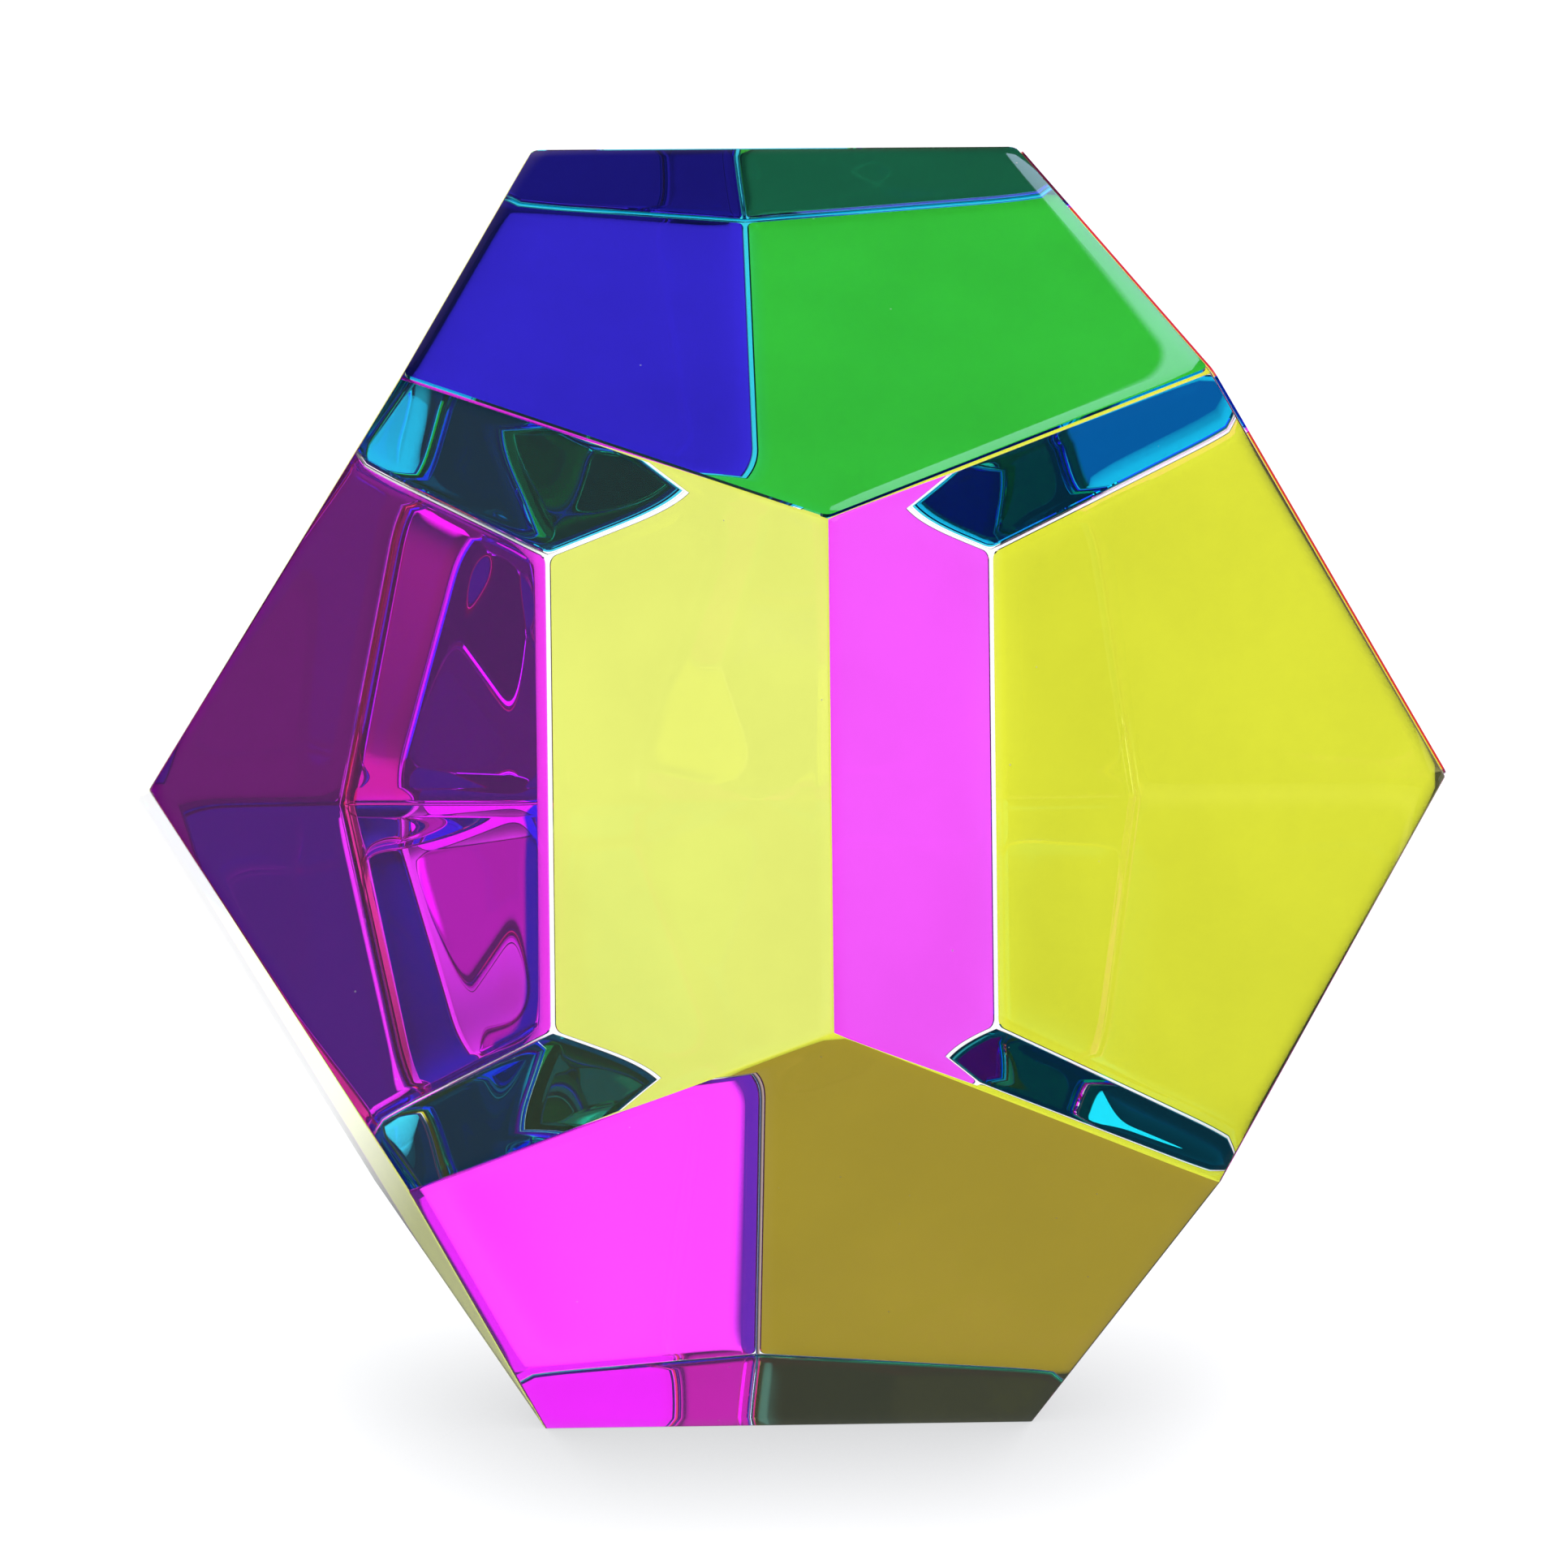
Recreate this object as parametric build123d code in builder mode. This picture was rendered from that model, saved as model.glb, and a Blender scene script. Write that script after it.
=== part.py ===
"""Colour-mixing dodecahedron: a clear acrylic block with five coloured films bonded to its faces.

Frame: millimetres, +Z up, origin at the centre of the face the block rests on.
The object is seen from the front along +Y, with +X to the right.
"""

from build123d import *
from math import atan, cos, degrees, radians, tan
import os

# Driving dimensions, in millimetres
ACROSS_FLATS = 50.0
EDGE_RADIUS = 0.15
ADHESIVE_THICKNESS = 0.05
FILM_THICKNESS = 0.10
LAYER_INSET = 0.11
LAYER_CORNER_RADIUS = 0.50

# A regular dodecahedron: neighbouring face normals stand atan(2) apart
INRADIUS = ACROSS_FLATS / 2
NORMAL_ANGLE = degrees(atan(2))
FACE_APOTHEM = INRADIUS * tan(radians(NORMAL_ANGLE / 2))
LAYER_APOTHEM = FACE_APOTHEM - LAYER_INSET
BLANK_SIZE = 2 * ACROSS_FLATS

CENTRE = Vector(0, 0, INRADIUS)

# Each face is named by where it stands: its azimuth about +Z, counted from +X, and its tilt from +Z
UPPER_TILT = NORMAL_ANGLE
LOWER_TILT = 180 - NORMAL_ANGLE
UPRIGHT = 90
FACES = {
    "top": (270, 0),
    "upper_right": (18, UPPER_TILT),
    "upper_rear": (90, UPPER_TILT),
    "upper_left": (162, UPPER_TILT),
    "front_left": (234, UPPER_TILT),
    "front_right": (306, UPPER_TILT),
    "lower_rear_right": (54, LOWER_TILT),
    "lower_rear_left": (126, LOWER_TILT),
    "lower_left": (198, LOWER_TILT),
    "lower_front": (270, LOWER_TILT),
    "lower_right": (342, LOWER_TILT),
    "bottom": (90, 180),
}

# The films cover the upper rear face and four of the five faces around it; all other faces stay clear
FILMS = {
    "top": "cyan",
    "upper_rear": "cyan",
    "upper_right": "magenta",
    "lower_rear_left": "magenta",
    "lower_rear_right": "yellow",
}


def face_plane(name, lift=0.0):
    """The plane of a face, raised by lift: +Z is its outward normal and +X points at one corner."""
    azimuth, tilt = FACES[name]
    outward = Vector(0, 0, 1).rotate(Axis.Y, tilt).rotate(Axis.Z, azimuth)
    downhill = Vector(1, 0, 0).rotate(Axis.Y, tilt).rotate(Axis.Z, azimuth)
    corner = downhill if tilt < UPRIGHT else -downhill
    return Plane(origin=CENTRE + outward * (INRADIUS + lift), x_dir=corner, z_dir=outward)


def finish(part, label):
    """Name a finished piece and write it out."""
    part.label = label
    export_step(part, f"parts/{label}.step")


def make_core():
    """The clear block: twelve flats cut from a blank, with every edge and corner polished round."""
    with BuildPart() as core:
        with Locations(CENTRE):
            Box(BLANK_SIZE, BLANK_SIZE, BLANK_SIZE)
        for name in FACES:
            split(bisect_by=face_plane(name), keep=Keep.BOTTOM)
        fillet(core.edges(), radius=EDGE_RADIUS)
    finish(core.part, "clear_core")


def make_layer(label, face, lift, thickness):
    """A pentagonal sheet lying on a face, its outline set in from the block's edges."""
    with BuildPart() as layer:
        with BuildSketch(face_plane(face, lift)) as outline:
            RegularPolygon(radius=LAYER_APOTHEM, side_count=5, major_radius=False)
            fillet(outline.vertices(), radius=LAYER_CORNER_RADIUS)
        extrude(amount=thickness)
    finish(layer.part, label)


os.makedirs("parts", exist_ok=True)
make_core()
for face, colour in FILMS.items():
    make_layer(f"{face}_adhesive", face, 0.0, ADHESIVE_THICKNESS)
    make_layer(f"{face}_{colour}_film", face, ADHESIVE_THICKNESS, FILM_THICKNESS)
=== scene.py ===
"""Looks for the colour-mixing dodecahedron: clear acrylic, bonded colour films, studio light and camera.

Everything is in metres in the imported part's frame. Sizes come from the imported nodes.
"""

import itertools
import math
from collections import namedtuple

import bmesh
import bpy
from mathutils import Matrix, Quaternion, Vector
from mathutils.bvhtree import BVHTree


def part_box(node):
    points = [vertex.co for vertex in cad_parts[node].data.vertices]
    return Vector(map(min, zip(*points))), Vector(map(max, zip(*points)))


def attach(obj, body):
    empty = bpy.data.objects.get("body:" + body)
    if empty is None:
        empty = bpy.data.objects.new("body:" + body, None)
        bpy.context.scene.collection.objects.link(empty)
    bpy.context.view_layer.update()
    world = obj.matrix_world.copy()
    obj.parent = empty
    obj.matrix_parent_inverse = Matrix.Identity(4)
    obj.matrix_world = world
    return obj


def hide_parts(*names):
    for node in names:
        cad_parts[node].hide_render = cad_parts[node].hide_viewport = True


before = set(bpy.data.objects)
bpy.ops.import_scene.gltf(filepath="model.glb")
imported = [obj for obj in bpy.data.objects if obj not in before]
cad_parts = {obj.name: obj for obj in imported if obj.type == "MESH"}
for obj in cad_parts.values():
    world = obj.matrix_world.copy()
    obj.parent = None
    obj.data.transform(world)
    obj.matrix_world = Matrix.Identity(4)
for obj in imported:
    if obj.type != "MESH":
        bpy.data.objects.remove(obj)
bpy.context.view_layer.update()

MM = 0.001
TINY = 1e-4
BODY = "root"

# ---------------------------------------------------------------- sizes read from the frame
core_low, core_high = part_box("clear_core")
CENTRE = Vector((0, 0, (core_low.z + core_high.z) / 2))
INRADIUS = (core_high.z - core_low.z) / 2

# ---------------------------------------------------------------- camera
CAMERA_AZIMUTH = -4.88
CAMERA_ELEVATION = 30.7
CAMERA_ROLL = 1.90
CAMERA_DISTANCE = 0.60
CAMERA_LENS = 299.0
CAMERA_SENSOR = 36.0
CAMERA_SHIFT = (0.0016, 0.0021)
CAMERA_CLIP_START = 0.01
CAMERA_CLIP_END = 20.0

# ---------------------------------------------------------------- optics
ACRYLIC_IOR = 1.49
# Beyond these angles light mirrors at the adhesive and never reaches the dye (start and end, degrees)
SHALLOW_ANGLE = {"cyan": (62.2, 62.8), "magenta": (71.5, 72.2), "yellow": (71.7, 72.0)}
# The dyes look deeper to light that crosses them at a slant (start and end, degrees)
SLANT_ANGLE = (20.0, 36.0)
PASS_TINT = {
    "cyan": (0.060, 0.66, 0.85),
    "magenta": (0.93, 0.110, 0.98),
    "yellow": (0.79, 0.85, 0.165),
}
SLANT_TINT = {
    "cyan": (0.045, 0.66, 0.84),
    "magenta": (0.92, 0.035, 0.88),
    "yellow": (0.82, 0.86, 0.042),
}
MIRROR_TINT = {
    "cyan": (0.008, 0.50, 0.82),
    "magenta": (0.85, 0.030, 0.93),
    "yellow": (0.88, 0.85, 0.32),
}
# Grey share of lamplight that each film lets down to the floor
FILM_SHADE = (0.95, 0.95, 0.95)
# How much the dye's strength varies over a film, the noise levels it runs between, and how closely
DYE_VARIATION = 0.06
MOTTLE_RANGE = (0.25, 0.75)
MOTTLES_PER_METRE = 120.0
# Share of light that a film scatters instead of mirroring it
HAZE = {"cyan": 0.012, "magenta": 0.045, "yellow": 0.012}
BLACK = (0.0, 0.0, 0.0)
WHITE = (1.0, 1.0, 1.0)
ACRYLIC_TINT = (0.995, 0.998, 1.0)
ACRYLIC_SHADE = (0.97, 0.98, 0.98)
BOND_TINT = (0.985, 0.985, 0.985)
# A thin layer's broad faces lie square to the spoke from the block's centre, to within this cosine
BROAD_COSINE = 0.7

# ---------------------------------------------------------------- shape of the polished faces
SQRT5 = math.sqrt(5)
NEIGHBOUR_COSINE = 1 / SQRT5
NEIGHBOUR_SINE = 2 / SQRT5
# The upper ring of five faces: its first azimuth and the turn to the next, in degrees
FIRST_AZIMUTH = 18
RING_STEP = 72
# A pentagon's corner turns the outline through this angle, in degrees
CORNER_TURN = 72
# Faces of the block larger than this are pentagons, not roundings
BROAD_AREA = INRADIUS ** 2 / 4
# Flat faces of the convex hull are joined up to this angle, in degrees
FLAT_ANGLE = 5
EDGE_RADIUS = 0.15 * MM
EDGE_SEGMENTS = 6
FILM_INSET = 0.11 * MM
FILM_CORNER_RADIUS = 0.50 * MM
FILM_CORNER_SEGMENTS = 6
# Polishing leaves the last stretch before each edge slightly sloped
ROLL_OFF_WIDTH = 3.4 * MM
ROLL_OFF_SLOPE = 0.09
# How late the slope sets in, for the top face and for all others
TOP_ROLL_OFF_POWER = 2.0
ROLL_OFF_POWER = 3.0
# The last stretch, where the wheel has cut deeper
BRINK_WIDTH = 0.8 * MM
BRINK_SLOPE = 0.20
# Normals closer to upright than this cosine belong to the top face
TOP_COSINE = 0.9
# Slight waves left by polishing
WAVE_SLOPE = 0.0004
WAVES_PER_METRE = 90.0
# Dust: how closely its cells stand, how large a speck is in its cell, and the share of cells left empty
SPECKS_PER_METRE = 700.0
SPECK_SIZE = 0.035
SPECK_GAP = 0.70
DUST_COLOUR = (0.75, 0.75, 0.78)
DUST_SHARE = 0.35


# ---------------------------------------------------------------- small node helpers
def fill(node, values):
    """Set or link a node's inputs, given by name or number."""
    for key, value in values.items():
        socket = node.inputs[key]
        if isinstance(value, bpy.types.NodeSocket):
            node.id_data.links.new(value, socket)
        elif isinstance(value, tuple) and len(value) == 3 and socket.type == "RGBA":
            socket.default_value = (*value, 1.0)
        else:
            socket.default_value = value


def add(tree, kind, values=None, **settings):
    """Add a node of a kind, with its settings and inputs, and return it."""
    node = tree.nodes.new("ShaderNode" + kind)
    for name, value in settings.items():
        setattr(node, name, value)
    fill(node, values or {})
    return node


def maths(tree, operation, *values):
    """The result of a maths node."""
    return add(tree, "Math", dict(enumerate(values)), operation=operation).outputs[0]


def vector_maths(tree, operation, *values):
    """The result of a vector maths node, as a number where the operation gives one."""
    node = add(tree, "VectorMath", operation=operation)
    if operation == "SCALE":
        fill(node, {"Vector": values[0], "Scale": values[1]})
    else:
        fill(node, dict(enumerate(values)))
    return node.outputs["Value" if operation in ("DOT_PRODUCT", "LENGTH") else "Vector"]


def either_way(tree, flag):
    """1 where a flag is 0, and -1 where it is 1."""
    return maths(tree, "MULTIPLY_ADD", flag, -2.0, 1.0)


def ramp(tree, value, start, end, low=0.0, high=1.0):
    """A smooth step of value from low at start to high at end."""
    values = {"Value": value, "From Min": start, "From Max": end, "To Min": low, "To Max": high}
    return add(tree, "MapRange", values, interpolation_type="SMOOTHSTEP").outputs[0]


def mix_colour(tree, share, first, second, blend="MIX"):
    """Two colours mixed by share."""
    node = add(tree, "Mix", {0: share, 6: first, 7: second}, data_type="RGBA", blend_type=blend)
    return node.outputs[2]


def mix_shader(tree, share, first, second):
    """Two shaders mixed by share."""
    return add(tree, "MixShader", {0: share, 1: first, 2: second}).outputs[0]


def new_tree(owner):
    """An empty node tree for a material or world."""
    owner.use_nodes = True
    owner.node_tree.nodes.clear()
    return owner.node_tree


def view_axes(tree):
    """The studio's level right and forward directions, which turn with the viewer."""
    ahead = add(tree, "VectorTransform", {0: (0.0, 0.0, 1.0)}, vector_type="VECTOR",
                convert_from="CAMERA", convert_to="WORLD").outputs[0]
    level = vector_maths(tree, "NORMALIZE", vector_maths(tree, "MULTIPLY", ahead, (1.0, 1.0, 0.0)))
    turned = {"Vector": level, "Angle": -math.radians(CAMERA_AZIMUTH)}
    forward = add(tree, "VectorRotate", turned, rotation_type="Z_AXIS").outputs[0]
    right = vector_maths(tree, "CROSS_PRODUCT", forward, (0.0, 0.0, 1.0))
    return right, forward


# ---------------------------------------------------------------- materials
def polished_normal_group():
    """A node group giving the surface normal with polishing roll-off near the edges and slight waves."""
    group = bpy.data.node_groups.new("polished_normal", "ShaderNodeTree")
    group.interface.new_socket("Normal", in_out="OUTPUT", socket_type="NodeSocketVector")
    geometry = add(group, "NewGeometry").outputs
    offset = vector_maths(group, "SUBTRACT", geometry["Position"], tuple(CENTRE))
    side = either_way(group, geometry["Backfacing"])
    normal = vector_maths(group, "SCALE", geometry["Normal"], side)
    uprightness = vector_maths(group, "DOT_PRODUCT", normal, (0.0, 0.0, 1.0))
    on_top = maths(group, "GREATER_THAN", uprightness, TOP_COSINE)
    late = maths(group, "MULTIPLY_ADD", on_top, TOP_ROLL_OFF_POWER - ROLL_OFF_POWER, ROLL_OFF_POWER)
    for axis in face_axes():
        height = vector_maths(group, "DOT_PRODUCT", offset, tuple(axis))
        reach = maths(group, "ABSOLUTE", height)
        nearness = []
        for width in (ROLL_OFF_WIDTH, BRINK_WIDTH):
            limits = {"Value": reach, "From Min": INRADIUS - width * NEIGHBOUR_SINE, "From Max": INRADIUS}
            nearness.append(add(group, "MapRange", limits).outputs[0])
        slope = maths(group, "MULTIPLY", maths(group, "POWER", nearness[0], late), ROLL_OFF_SLOPE)
        slope = maths(group, "MULTIPLY_ADD", nearness[1], BRINK_SLOPE, slope)
        slope = maths(group, "MULTIPLY", maths(group, "SIGN", height), slope)
        lean = vector_maths(group, "SCALE", tuple(axis), slope)
        normal = vector_maths(group, "ADD", normal, lean)
    ripples = {"Vector": geometry["Position"], "Scale": WAVES_PER_METRE, "Detail": 1.0}
    noise = add(group, "TexNoise", ripples)
    wave = vector_maths(group, "SUBTRACT", noise.outputs["Color"], (0.5, 0.5, 0.5))
    normal = vector_maths(group, "ADD", normal, vector_maths(group, "SCALE", wave, WAVE_SLOPE))
    facing = vector_maths(group, "SCALE", vector_maths(group, "NORMALIZE", normal), side)
    output = group.nodes.new("NodeGroupOutput")
    fill(output, {0: facing})
    return group


def polished_normal(tree):
    """The normal of a polished face, from the shared node group."""
    return add(tree, "Group", node_tree=bpy.data.node_groups["polished_normal"]).outputs[0]


def outward_facing(tree):
    """How far the surface's own normal points away from the block's centre, from -1 to 1."""
    geometry = add(tree, "NewGeometry")
    offset = vector_maths(tree, "SUBTRACT", geometry.outputs["Position"], tuple(CENTRE))
    spoke = vector_maths(tree, "NORMALIZE", offset)
    seen = vector_maths(tree, "DOT_PRODUCT", geometry.outputs["True Normal"], spoke)
    return maths(tree, "MULTIPLY", seen, either_way(tree, geometry.outputs["Backfacing"]))


def passing_ray(tree):
    """1 for rays that only carry light through the block: shadow rays and light for the floor."""
    path = add(tree, "LightPath").outputs
    return maths(tree, "MAXIMUM", path["Is Shadow Ray"], path["Is Diffuse Ray"])


def glass_surface(tree, pass_colour, mirror_colour, normal):
    """A surface of acrylic against air: it refracts, mirrors, and mirrors fully at shallow angles."""
    fresnel = add(tree, "Fresnel", {"IOR": ACRYLIC_IOR, "Normal": normal}).outputs[0]
    polished = {"Roughness": 0.0, "Normal": normal}
    bend = add(tree, "BsdfRefraction", {"Color": pass_colour, "IOR": ACRYLIC_IOR, **polished})
    mirror = add(tree, "BsdfAnisotropic", {"Color": mirror_colour, **polished})
    return mix_shader(tree, fresnel, bend.outputs[0], mirror.outputs[0])


def dusted(tree, surface):
    """The surface with a few fine specks of dust on its outside."""
    geometry = add(tree, "NewGeometry").outputs
    specks = add(tree, "TexVoronoi", {"Vector": geometry["Position"], "Scale": SPECKS_PER_METRE})
    small = maths(tree, "LESS_THAN", specks.outputs["Distance"], SPECK_SIZE)
    draw = add(tree, "SeparateColor", {0: specks.outputs["Color"]}).outputs[0]
    kept = maths(tree, "GREATER_THAN", draw, SPECK_GAP)
    outside = maths(tree, "SUBTRACT", 1.0, geometry["Backfacing"])
    share = maths(tree, "MULTIPLY", maths(tree, "MULTIPLY", small, kept), outside)
    speck = add(tree, "BsdfDiffuse", {"Color": DUST_COLOUR}).outputs[0]
    return mix_shader(tree, maths(tree, "MULTIPLY", share, DUST_SHARE), surface, speck)


def finish_material(tree, surface, see_through):
    """Join the seen surface with the way plain light passes through it."""
    clear = add(tree, "BsdfTransparent", {0: see_through}).outputs[0]
    shader = mix_shader(tree, passing_ray(tree), surface, clear)
    add(tree, "OutputMaterial", {0: shader})


def clear_acrylic():
    """Polished clear acrylic in contact with air."""
    material = bpy.data.materials.new("clear_acrylic")
    tree = new_tree(material)
    surface = glass_surface(tree, ACRYLIC_TINT, WHITE, polished_normal(tree))
    finish_material(tree, dusted(tree, surface), ACRYLIC_SHADE)
    return material


def bonded_acrylic():
    """A face of the block wetted by adhesive, where nothing bends or mirrors."""
    material = bpy.data.materials.new("bonded_acrylic")
    tree = new_tree(material)
    place = add(tree, "NewGeometry").outputs["Position"]
    mottle = add(tree, "TexNoise", {"Vector": place, "Scale": MOTTLES_PER_METRE}).outputs[0]
    passing = mix_colour(tree, mottle, BOND_TINT, WHITE)
    clear = add(tree, "BsdfTransparent", {0: passing}).outputs[0]
    add(tree, "OutputMaterial", {0: clear})
    return material


def clear_adhesive():
    """The adhesive layer: its broad faces vanish between film and block, its rim shows as clear plastic."""
    material = bpy.data.materials.new("clear_adhesive")
    tree = new_tree(material)
    rim = glass_surface(tree, WHITE, WHITE, polished_normal(tree))
    wetted = add(tree, "BsdfTransparent", {0: WHITE}).outputs[0]
    broad = maths(tree, "GREATER_THAN", maths(tree, "ABSOLUTE", outward_facing(tree)), BROAD_COSINE)
    surface = mix_shader(tree, broad, rim, wetted)
    finish_material(tree, surface, WHITE)
    return material


def colour_film(colour):
    """A dyed film: light is tinted as it passes and as it mirrors inside, but not at shallow angles."""
    material = bpy.data.materials.new(colour + "_film")
    tree = new_tree(material)
    geometry = add(tree, "NewGeometry").outputs
    normal = polished_normal(tree)
    facing = vector_maths(tree, "DOT_PRODUCT", geometry["Incoming"], normal)
    slant = maths(tree, "ARCCOSINE", facing)
    shallow_start, shallow_end = (math.radians(angle) for angle in SHALLOW_ANGLE[colour])
    shallow = ramp(tree, slant, shallow_start, shallow_end)
    inside = mix_colour(tree, shallow, MIRROR_TINT[colour], WHITE)
    mirror = mix_colour(tree, geometry["Backfacing"], WHITE, inside)
    slant_start, slant_end = (math.radians(angle) for angle in SLANT_ANGLE)
    slanted = ramp(tree, slant, slant_start, slant_end)
    tint = mix_colour(tree, slanted, PASS_TINT[colour], SLANT_TINT[colour])
    mottles = {"Vector": geometry["Position"], "Scale": MOTTLES_PER_METRE, "Detail": 3.0}
    mottle = add(tree, "TexNoise", mottles).outputs[0]
    strength = ramp(tree, mottle, *MOTTLE_RANGE, 1.0 - DYE_VARIATION, 1.0)
    tint = vector_maths(tree, "SCALE", tint, strength)
    clean = glass_surface(tree, tint, mirror, normal)
    glowing = add(tree, "BsdfTranslucent", {"Color": PASS_TINT[colour]}).outputs[0]
    scattered = maths(tree, "MULTIPLY", geometry["Backfacing"], maths(tree, "SUBTRACT", 1.0, shallow))
    hazy = mix_shader(tree, maths(tree, "MULTIPLY", scattered, HAZE[colour]), clean, glowing)
    outer = dusted(tree, hazy)
    wetted = add(tree, "BsdfTransparent", {0: WHITE}).outputs[0]
    outward = outward_facing(tree)
    inner_face = maths(tree, "LESS_THAN", outward, -BROAD_COSINE)
    surface = mix_shader(tree, inner_face, outer, wetted)
    on_outer_face = maths(tree, "GREATER_THAN", outward, BROAD_COSINE)
    passing = mix_colour(tree, on_outer_face, WHITE, FILM_SHADE)
    finish_material(tree, surface, passing)
    return material


# ---------------------------------------------------------------- the clear block
def face_axes():
    """The six axes through opposite faces, each pointing to the top or the upper ring of five."""
    axes = [Vector((0, 0, 1))]
    for azimuth in range(FIRST_AZIMUTH, 360, RING_STEP):
        turn = math.radians(azimuth)
        across, along = NEIGHBOUR_SINE * math.cos(turn), NEIGHBOUR_SINE * math.sin(turn)
        axes.append(Vector((across, along, NEIGHBOUR_COSINE)))
    return axes


def face_normals():
    """The twelve outward normals of the block."""
    axes = face_axes()
    return axes + [-axis for axis in axes]


def dodecahedron(inradius):
    """A bmesh regular dodecahedron about CENTRE, from the corners where three faces meet."""
    normals = face_normals()
    reach = inradius / (1 + 2 * NEIGHBOUR_COSINE)
    mesh = bmesh.new()
    for trio in itertools.combinations(normals, 3):
        if all(abs(a.dot(b) - NEIGHBOUR_COSINE) < TINY for a, b in itertools.combinations(trio, 2)):
            mesh.verts.new(CENTRE + sum(trio, Vector()) * reach)
    bmesh.ops.convex_hull(mesh, input=mesh.verts)
    bmesh.ops.dissolve_limit(mesh, angle_limit=math.radians(FLAT_ANGLE), verts=mesh.verts,
                             edges=mesh.edges)
    return mesh


def round_off(mesh, radius):
    """Move each vertex onto the exact rounded block, and return the normals there."""
    kernel = dodecahedron(INRADIUS - radius)
    tree = BVHTree.FromBMesh(kernel)
    kernel.free()
    normals = []
    for vertex in mesh.verts:
        nearest = tree.find_nearest(vertex.co)[0]
        normal = (vertex.co - nearest).normalized()
        vertex.co = nearest + normal * radius
        normals.append(normal)
    return normals


def covered_by_film(face, covered_normals):
    """Whether a mesh face is a pentagon on one of the covered sides."""
    square = any(face.normal.dot(normal) > 1 - TINY for normal in covered_normals)
    return face.calc_area() > BROAD_AREA and square


def clear_block(covered_normals):
    """The clear block with rounded edges; the area under each film gets the second material."""
    mesh = dodecahedron(INRADIUS)
    setback = EDGE_RADIUS * math.tan(math.acos(NEIGHBOUR_COSINE) / 2)
    bmesh.ops.bevel(mesh, geom=mesh.edges[:] + mesh.verts[:], offset=setback, segments=EDGE_SEGMENTS,
                    profile=0.5, affect="EDGES", clamp_overlap=True)
    mesh.normal_update()
    covered = [face for face in mesh.faces if covered_by_film(face, covered_normals)]
    bmesh.ops.inset_individual(mesh, faces=covered, thickness=FILM_INSET - setback)
    corners = [vertex for face in covered for vertex in face.verts]
    cut = FILM_CORNER_RADIUS * math.tan(math.radians(CORNER_TURN / 2))
    bmesh.ops.bevel(mesh, geom=corners, offset=cut, segments=FILM_CORNER_SEGMENTS, profile=0.5,
                    affect="VERTICES", clamp_overlap=True)
    mesh.verts.index_update()
    normals = round_off(mesh, EDGE_RADIUS)
    mesh.normal_update()
    for face in mesh.faces:
        face.smooth = True
        face.material_index = 1 if covered_by_film(face, covered_normals) else 0
    data = bpy.data.meshes.new("clear_block")
    mesh.to_mesh(data)
    mesh.free()
    data.normals_split_custom_set_from_vertices(normals)
    block = bpy.data.objects.new("clear_block", data)
    bpy.context.scene.collection.objects.link(block)
    return block


def film_normal(film):
    """The outward normal of the side that a film covers."""
    places = [vertex.co for vertex in film.data.vertices]
    spoke = (sum(places, Vector()) / len(places) - CENTRE).normalized()
    return min(face_normals(), key=lambda normal: (normal - spoke).length)


def build_block():
    """Build the block and dress every node."""
    polished_normal_group()
    films = [node for name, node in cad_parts.items() if name.endswith("_film")]
    block = clear_block([film_normal(film) for film in films])
    block.data.materials.append(clear_acrylic())
    block.data.materials.append(bonded_acrylic())
    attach(block, BODY)
    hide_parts("clear_core")
    film_materials = {colour: colour_film(colour) for colour in PASS_TINT}
    adhesive = clear_adhesive()
    for name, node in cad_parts.items():
        if name == "clear_core":
            continue
        colour = name.split("_")[-2]
        material = film_materials.get(colour, adhesive)
        node.data.materials.clear()
        node.data.materials.append(material)


# ---------------------------------------------------------------- floor and lamp
FLOOR_Z = -0.04 * MM
FLOOR_SIZE = 6.0
FLOOR_GLOW = 0.47
FLOOR_COLOUR = 0.62
FLOOR_GRAIN = 0.02
GRAINS_PER_METRE = 3.0
# Painted shade on the floor's glow: light from the floor inside the block dims between these distances
# ahead of the block's centre, and dims more between the FAR distances towards the viewer
DIM_START, DIM_END = 14 * MM, 0 * MM
PAINTED_DIM_NEAR = 0.20
FAR_START, FAR_END = -20 * MM, -80 * MM
PAINTED_DIM_FAR = 0.45
# The floor's glow rises to the backdrop's between these distances from the block
BACKDROP_RANGE = (0.15, 1.0)
# Painted contact shadow: the block keeps the ambient light off the floor within this distance, painted by
# darkening the floor's glow and colour in front of the block where the camera sees it
CONTACT_REACH = 10 * MM
PAINTED_SHADOW_STRENGTH = 0.50
CONTACT_START, CONTACT_END = -16 * MM, -2 * MM
LAMP_HEIGHT = 1.2
LAMP_SIZE = 0.8
LAMP_WATTS = 14.0


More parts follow.
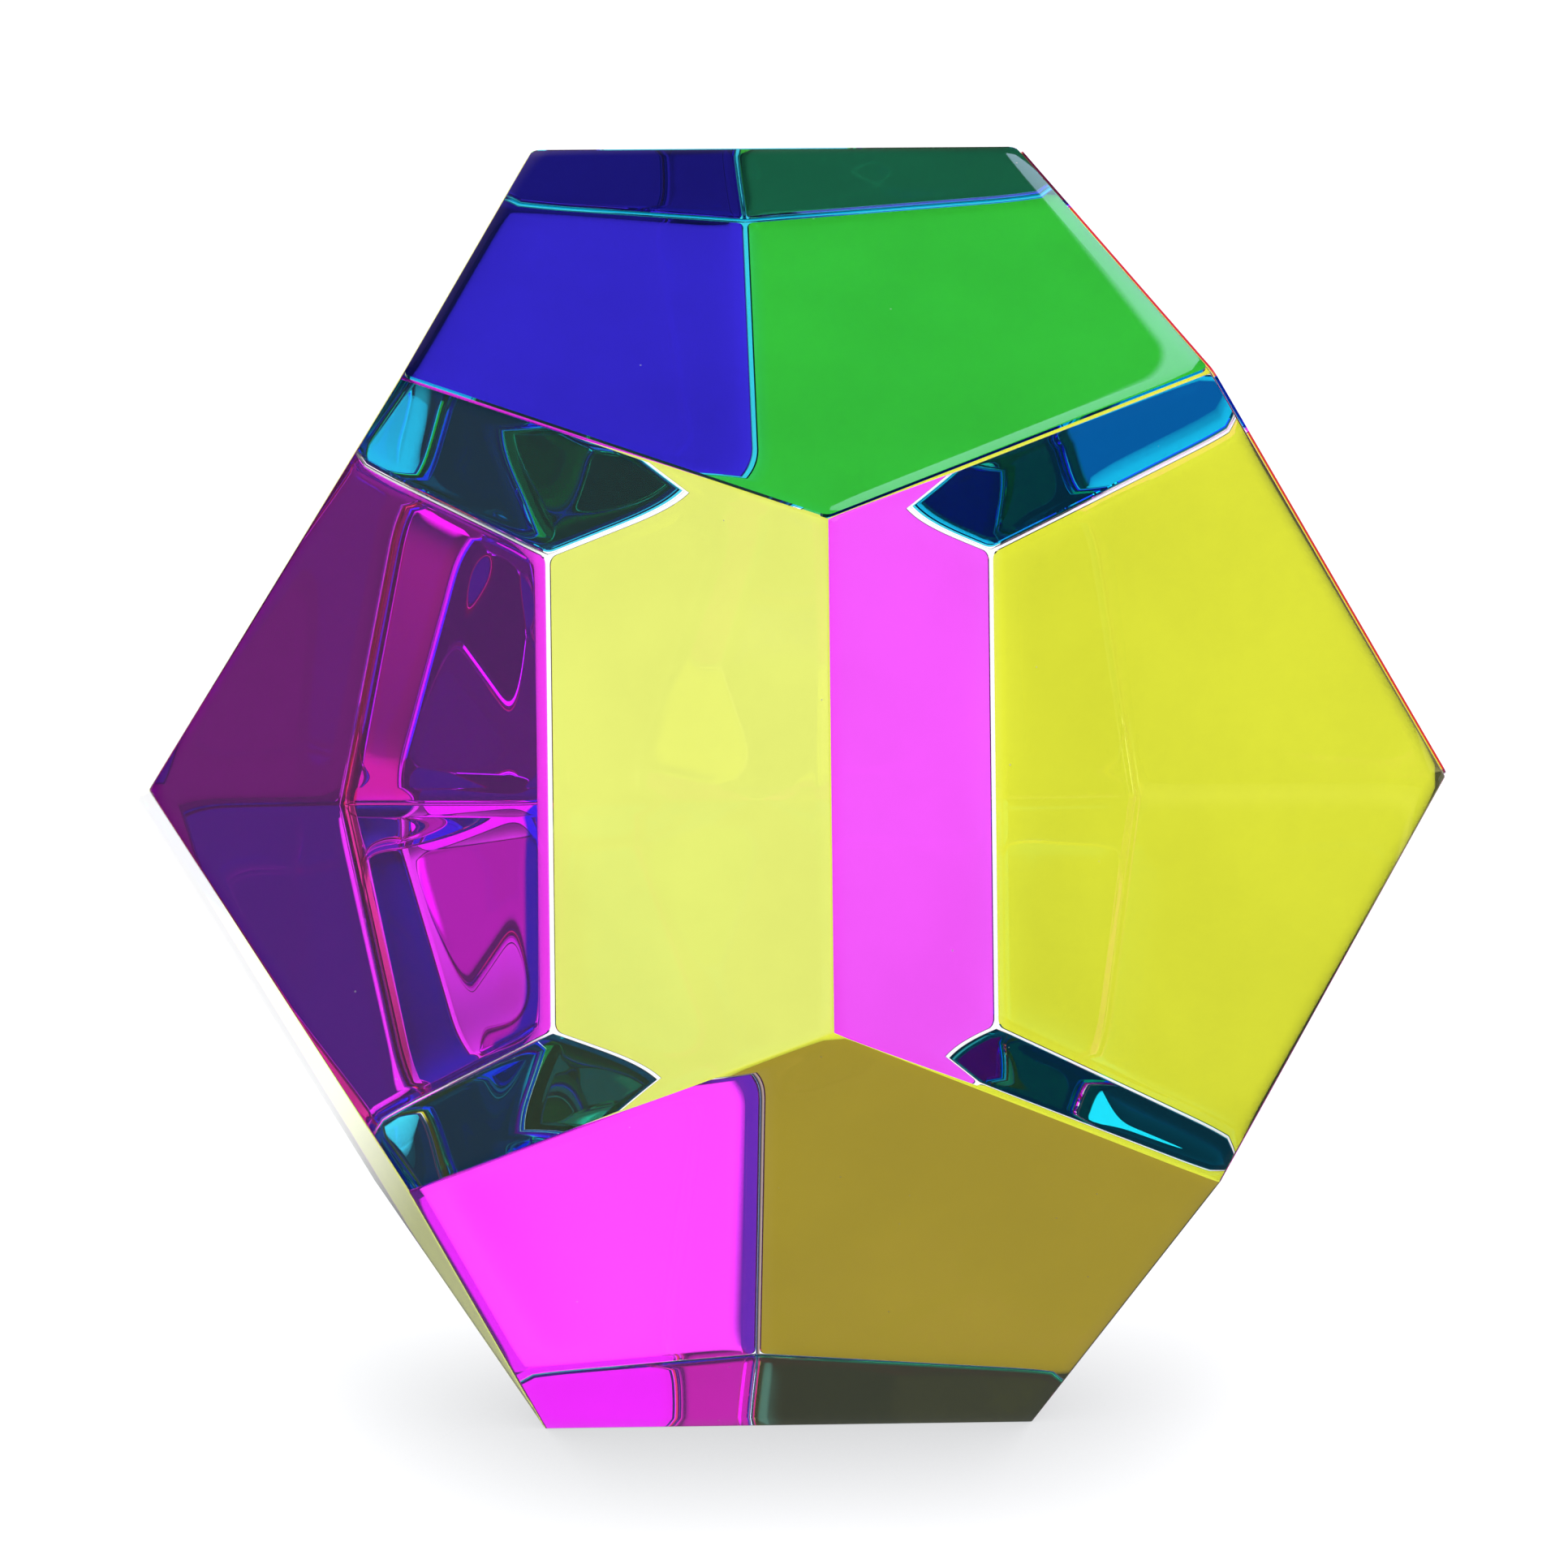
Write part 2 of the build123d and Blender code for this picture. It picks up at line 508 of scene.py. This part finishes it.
def light_floor():
    """A pale glowing floor with soft lamp shadows and a painted contact shadow in front of the block; its
    glow has painted shade, dimmer towards the viewer for light inside the block.
    """
    data = bpy.data.meshes.new("floor")
    half = FLOOR_SIZE / 2
    corners = [(-half, -half), (half, -half), (half, half), (-half, half)]
    data.from_pydata([(x, y, FLOOR_Z) for x, y in corners], [], [(0, 1, 2, 3)])
    floor = bpy.data.objects.new("floor", data)
    bpy.context.scene.collection.objects.link(floor)
    material = bpy.data.materials.new("pale_floor")
    tree = new_tree(material)
    place = add(tree, "NewGeometry").outputs["Position"]
    ahead = vector_maths(tree, "DOT_PRODUCT", place, view_axes(tree)[1])
    # Painted shade: the floor's glow dims towards the viewer for light seen through the block
    near_painted_shade = ramp(tree, ahead, DIM_END, DIM_START, PAINTED_DIM_NEAR, 1.0)
    far_painted_shade = ramp(tree, ahead, FAR_END, FAR_START, PAINTED_DIM_FAR, 1.0)
    # Painted contact shadow: ambient occlusion darkens the floor only in front of the block
    open_share = add(tree, "AmbientOcclusion", {"Distance": CONTACT_REACH}).outputs["AO"]
    covered = maths(tree, "SUBTRACT", 1.0, open_share)
    in_front = ramp(tree, ahead, CONTACT_END, CONTACT_START)
    painted_shadow_share = maths(tree, "MULTIPLY", covered, in_front)
    painted_contact_shadow = maths(tree, "MULTIPLY_ADD", painted_shadow_share, -PAINTED_SHADOW_STRENGTH, 1.0)
    inside = maths(tree, "MULTIPLY", near_painted_shade, far_painted_shade)
    seen = add(tree, "LightPath").outputs["Is Camera Ray"]
    # Painted shade for the floor: the contact shadow for camera rays, the dimming for light seen through
    # the block
    level = add(tree, "Mix", {0: seen, 2: inside, 3: painted_contact_shadow}).outputs[0]
    distance = vector_maths(tree, "LENGTH", place)
    backdrop = maths(tree, "MULTIPLY", seen, ramp(tree, distance, *BACKDROP_RANGE, 0.0, 1.0 - FLOOR_GLOW))
    strength = maths(tree, "MULTIPLY_ADD", level, FLOOR_GLOW, backdrop)
    glow = add(tree, "Emission", {"Strength": strength}).outputs[0]
    grain = add(tree, "TexNoise", {"Vector": place, "Scale": GRAINS_PER_METRE}).outputs[0]
    paleness = maths(tree, "MULTIPLY_ADD", grain, FLOOR_GRAIN, FLOOR_COLOUR)
    # The floor's colour carries the same painted shade as its glow
    shade = maths(tree, "MULTIPLY", level, paleness)
    grey = add(tree, "CombineXYZ", {0: shade, 1: shade, 2: shade}).outputs[0]
    plain = add(tree, "BsdfDiffuse", {"Color": grey})
    both = add(tree, "AddShader", {0: glow, 1: plain.outputs[0]}).outputs[0]
    add(tree, "OutputMaterial", {0: both})
    data.materials.append(material)


def overhead_lamp():
    """One broad soft lamp above the block; it lights the floor and the films' haze only."""
    data = bpy.data.lights.new("overhead_lamp", "AREA")
    data.shape = "DISK"
    data.size = LAMP_SIZE
    data.energy = LAMP_WATTS
    lamp = bpy.data.objects.new("overhead_lamp", data)
    lamp.location = CENTRE + Vector((0, 0, LAMP_HEIGHT))
    lamp.visible_glossy = False
    lamp.visible_transmission = False
    bpy.context.scene.collection.objects.link(lamp)


Softbox = namedtuple("Softbox", "turn rise colour inner outer")
# Soft lights and lit walls, in whole degrees: turn right of straight ahead, rise above level, and the half
# angles at which each starts to fade and ends
SOFTBOXES = {
    "window_behind_right": Softbox(43, 12, (2.2, 2.2, 2.2), 11, 14),
    "blue_wall_behind": Softbox(23, 9, (0.10, 0.18, 0.55), 5, 10),
    "ceiling_right": Softbox(93, 55, (1.3, 1.2, 1.25), 14, 17),
    "ceiling_over_viewer": Softbox(135, 65, (0.75, 0.60, 0.50), 4, 14),
    "soft_lamp_right": Softbox(120, 47, (0.54, 0.48, 0.42), 3, 8),
    "spot_right": Softbox(110, 37, (1.20, 1.05, 1.10), 6, 7),
    "warm_wall_left": Softbox(-140, 15, (0.95, 0.60, 0.40), 5, 17),
    "low_lamp_beside_viewer": Softbox(-158, 2, (1.70, 1.70, 1.30), 4, 6),
    "grey_wall_left": Softbox(-116, 16, (0.35, 0.33, 0.30), 5, 25),
    "blue_ceiling_left": Softbox(-138, 60, (0.05, 0.19, 0.43), 5, 14),
    "blue_wall_right": Softbox(98, 31, (0.02, 0.03, 0.13), 8, 20),
    "warm_wall_behind": Softbox(-18, 3, (0.48, 0.33, 0.28), 10, 28),
}
ROOM = (0.022, 0.028, 0.040)
BACKDROP = (1.0, 1.0, 1.0)
# An upright strip lamp behind the block: left and right edge and top and bottom, in degrees
STRIP_TURN = (8.2, 16.0)
STRIP_RISE = (18.0, 48.0)
STRIP_EDGE = 0.4
STRIP_COLOUR = (1.7, 2.15, 2.9)


def strip_lamp(tree, across, ahead, up):
    """The share of the strip lamp in a direction, from 0 to 1."""
    turn = maths(tree, "ARCTAN2", across, ahead)
    rise = maths(tree, "ARCSINE", up)
    share = 1.0
    for angle, limits in ((turn, STRIP_TURN), (rise, STRIP_RISE)):
        start, end = (math.radians(limit) for limit in limits)
        edge = math.radians(STRIP_EDGE)
        share = maths(tree, "MULTIPLY", share, ramp(tree, angle, start - edge, start + edge))
        share = maths(tree, "MULTIPLY", share, ramp(tree, angle, end - edge, end + edge, 1.0, 0.0))
    return share


def studio_world():
    """A dim room with soft lights, placed relative to the viewer."""
    world = bpy.data.worlds.new("studio")
    bpy.context.scene.world = world
    tree = new_tree(world)
    right, forward = view_axes(tree)
    direction = add(tree, "TexCoord").outputs["Generated"]
    across = vector_maths(tree, "DOT_PRODUCT", direction, right)
    ahead = vector_maths(tree, "DOT_PRODUCT", direction, forward)
    up = vector_maths(tree, "DOT_PRODUCT", direction, (0.0, 0.0, 1.0))
    place = add(tree, "CombineXYZ", {0: across, 1: ahead, 2: up}).outputs[0]
    share = strip_lamp(tree, across, ahead, up)
    lit = mix_colour(tree, share, BLACK, STRIP_COLOUR)
    colour = mix_colour(tree, 1.0, ROOM, lit, "ADD")
    for light in SOFTBOXES.values():
        turn, rise = math.radians(light.turn), math.radians(light.rise)
        aim = (math.sin(turn) * math.cos(rise), math.cos(turn) * math.cos(rise), math.sin(rise))
        cosine = vector_maths(tree, "DOT_PRODUCT", place, aim)
        outer, inner = (math.cos(math.radians(angle)) for angle in (light.outer, light.inner))
        share = ramp(tree, cosine, outer, inner)
        lit = mix_colour(tree, share, BLACK, light.colour)
        colour = mix_colour(tree, 1.0, colour, lit, "ADD")
    seen = add(tree, "LightPath").outputs["Is Camera Ray"]
    colour = mix_colour(tree, seen, colour, BACKDROP)
    background = add(tree, "Background", {0: colour, 1: 1.0}).outputs[0]
    add(tree, "OutputWorld", {0: background})


# ---------------------------------------------------------------- camera and picture settings
LIGHT_BOUNCES = 40
DIFFUSE_BOUNCES = 2
TRANSPARENT_BOUNCES = 256
BRIGHTEST_BOUNCE = 10.0


def place_camera():
    """The camera, aimed at the block's centre from its front."""
    turn, rise = math.radians(CAMERA_AZIMUTH), math.radians(CAMERA_ELEVATION)
    back = Vector((math.sin(turn) * math.cos(rise), -math.cos(turn) * math.cos(rise), math.sin(rise)))
    data = bpy.data.cameras.new("camera")
    data.lens = CAMERA_LENS
    data.sensor_width = CAMERA_SENSOR
    data.clip_start = CAMERA_CLIP_START
    data.clip_end = CAMERA_CLIP_END
    camera = bpy.data.objects.new("camera", data)
    bpy.context.scene.collection.objects.link(camera)
    camera.location = CENTRE + back * CAMERA_DISTANCE
    level = (-back).to_track_quat("-Z", "Y")
    camera.rotation_mode = "QUATERNION"
    camera.rotation_quaternion = Quaternion(back, math.radians(CAMERA_ROLL)) @ level
    data.shift_x, data.shift_y = CAMERA_SHIFT
    bpy.context.scene.camera = camera


def picture_settings():
    """Plain colours, and enough bounces for light trapped between the block's faces."""
    scene = bpy.context.scene
    scene.view_settings.view_transform = "Standard"
    scene.cycles.max_bounces = LIGHT_BOUNCES
    scene.cycles.transmission_bounces = LIGHT_BOUNCES
    scene.cycles.glossy_bounces = LIGHT_BOUNCES
    scene.cycles.diffuse_bounces = DIFFUSE_BOUNCES
    scene.cycles.transparent_max_bounces = TRANSPARENT_BOUNCES
    scene.cycles.sample_clamp_indirect = BRIGHTEST_BOUNCE


build_block()
light_floor()
overhead_lamp()
studio_world()
place_camera()
picture_settings()
